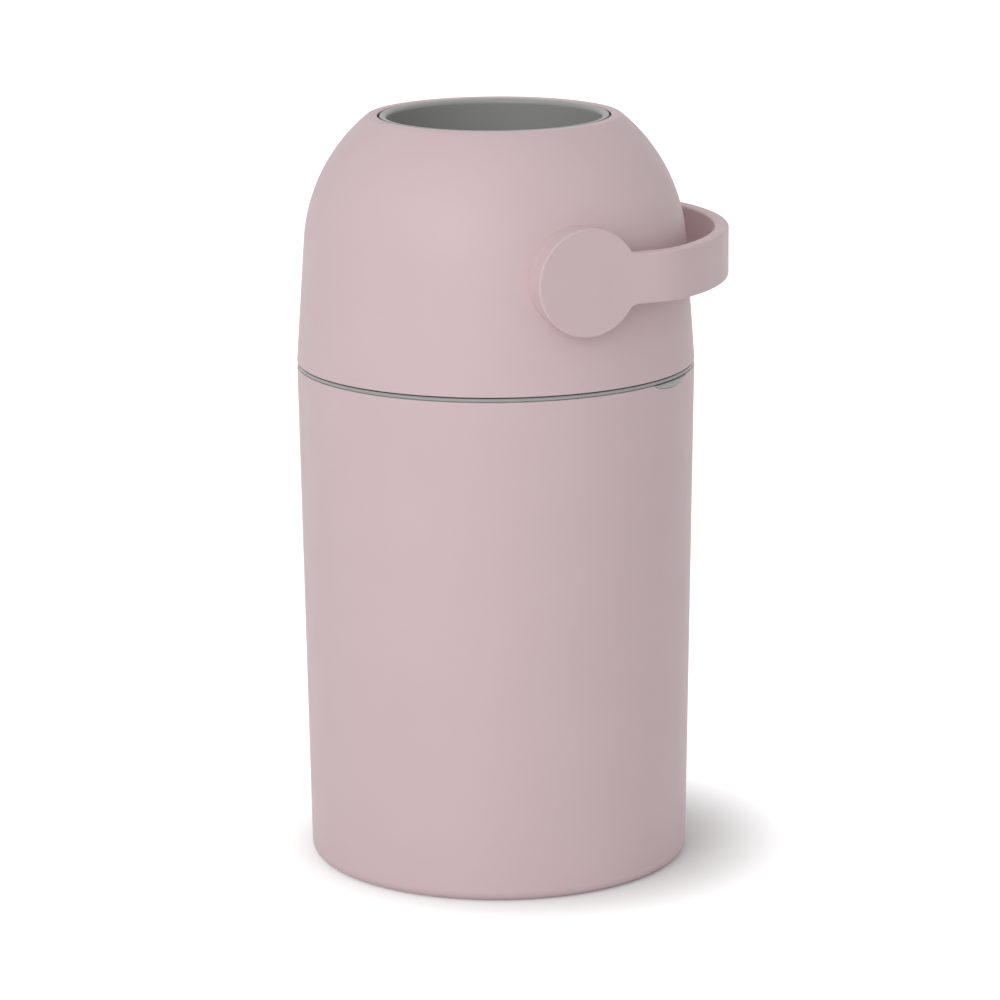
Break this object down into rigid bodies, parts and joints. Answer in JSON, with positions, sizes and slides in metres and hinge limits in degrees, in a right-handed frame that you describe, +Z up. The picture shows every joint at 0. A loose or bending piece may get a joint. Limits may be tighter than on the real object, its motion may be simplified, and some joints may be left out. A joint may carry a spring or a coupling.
{
  "type": "nappy bin",
  "caption": "Round nappy bin: a tub with a hinged dome whose side handle flips an inner drum with a sliding piston, so that a nappy drops into the bag.",
  "frame": {"origin": "on the tub's axis, in the plane of its foot ring, which stands on the floor", "axes": "+Z up along the tub's axis; -Y towards the handle's front disc; +X towards the handle's loop at rest"},
  "size_m": [0.3049, 0.3016, 0.5338],
  "materials": {
    "pink_plastic": "satin-matt dusty pink moulded plastic",
    "grey_plastic": "satin mid-grey moulded plastic",
    "latch_plastic": "satin light grey moulded plastic",
    "dark_plastic": "satin dark grey moulded plastic",
    "white_plastic": "satin off-white moulded plastic",
    "seal_rubber": "soft dark grey sealing rubber",
    "steel": "plain zinc-coated steel",
    "weight_iron": "plain machined iron"
  },
  "bodies": {
    "bin": {"tub": "pink_plastic", "seat_ring": "grey_plastic", "bag_ring": "white_plastic", "latch_spring": "steel", "hinge_pin": "steel"},
    "latch": {"latch_tab": "latch_plastic"},
    "dome": {"dome_shell": "pink_plastic", "dome_floor": "dark_plastic", "dome_floor_screws": "steel", "dome_gasket": "seal_rubber", "upper_drum_seal": "seal_rubber", "lower_drum_seal": "seal_rubber", "front_bush": "white_plastic", "rear_bush": "white_plastic", "bush_screws": "steel", "latch_keeper": "steel", "keeper_screws": "steel", "hinge_leaf": "pink_plastic", "hinge_screws": "steel"},
    "drum": {"drum_upper_shell": "grey_plastic", "drum_lower_shell": "grey_plastic", "drum_screws": "steel", "upper_mouth_ring": "grey_plastic", "lower_mouth_ring": "grey_plastic", "handle": "pink_plastic", "front_axle": "steel", "rear_axle": "steel", "axle_screws": "steel"},
    "piston": {"piston_upper_cup": "grey_plastic", "piston_lower_cup": "grey_plastic", "piston_weight": "weight_iron", "piston_seals": "seal_rubber", "piston_screws": "steel"}
  },
  "joints": [
    {"name": "dome_hinge", "type": "hinge", "parent": "bin", "child": "dome", "pos_m": [-0.08499, 0.11698, 0.36005], "axis": [-0.809, -0.5878, 0], "range_deg": [0, 85]},
    {"name": "handle_turn", "type": "hinge", "parent": "dome", "child": "drum", "pos_m": [0, 0, 0.438], "axis": [0, -1, 0], "range_deg": [0, 180]},
    {"name": "piston_slide", "type": "slide", "parent": "drum", "child": "piston", "axis": [0, 0, 1], "range_m": [0, 0.088]},
    {"name": "latch_press", "type": "slide", "parent": "bin", "child": "latch", "axis": [-0.5878, 0.809, 0], "range_m": [0, 0.003], "stiffness_N_per_m": 600, "springref_m": -0.002, "deforming": ["latch_spring"]}
  ]
}
